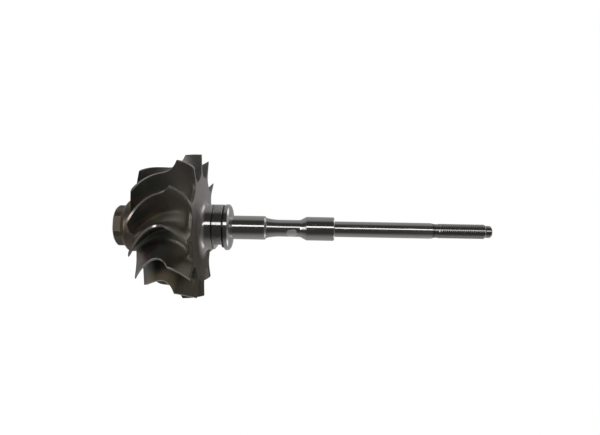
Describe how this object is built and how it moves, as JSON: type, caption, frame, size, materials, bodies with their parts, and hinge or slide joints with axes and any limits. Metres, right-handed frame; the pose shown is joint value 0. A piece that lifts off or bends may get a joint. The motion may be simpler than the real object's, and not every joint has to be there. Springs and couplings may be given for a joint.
{
  "type": "turbocharger turbine shaft and wheel",
  "caption": "Turbine rotor of a turbocharger: cast radial-flow turbine wheel with a scalloped disc, welded to a turned, ground and threaded steel shaft.",
  "frame": {"origin": "centre of the flat end of the nose boss, on the rotor's axis", "axes": "+Z along the rotor's axis, from the nose of the wheel to the threaded end of the shaft"},
  "size_m": [0.07, 0.07, 0.181],
  "materials": {
    "cast_nickel_alloy": "investment cast, dark and slightly rough, with bright machined blade edges",
    "ground_steel": "turned and ground bright"
  },
  "bodies": {
    "root": {"turbine_wheel": "cast_nickel_alloy", "shaft": "ground_steel"}
  },
  "joints": []
}
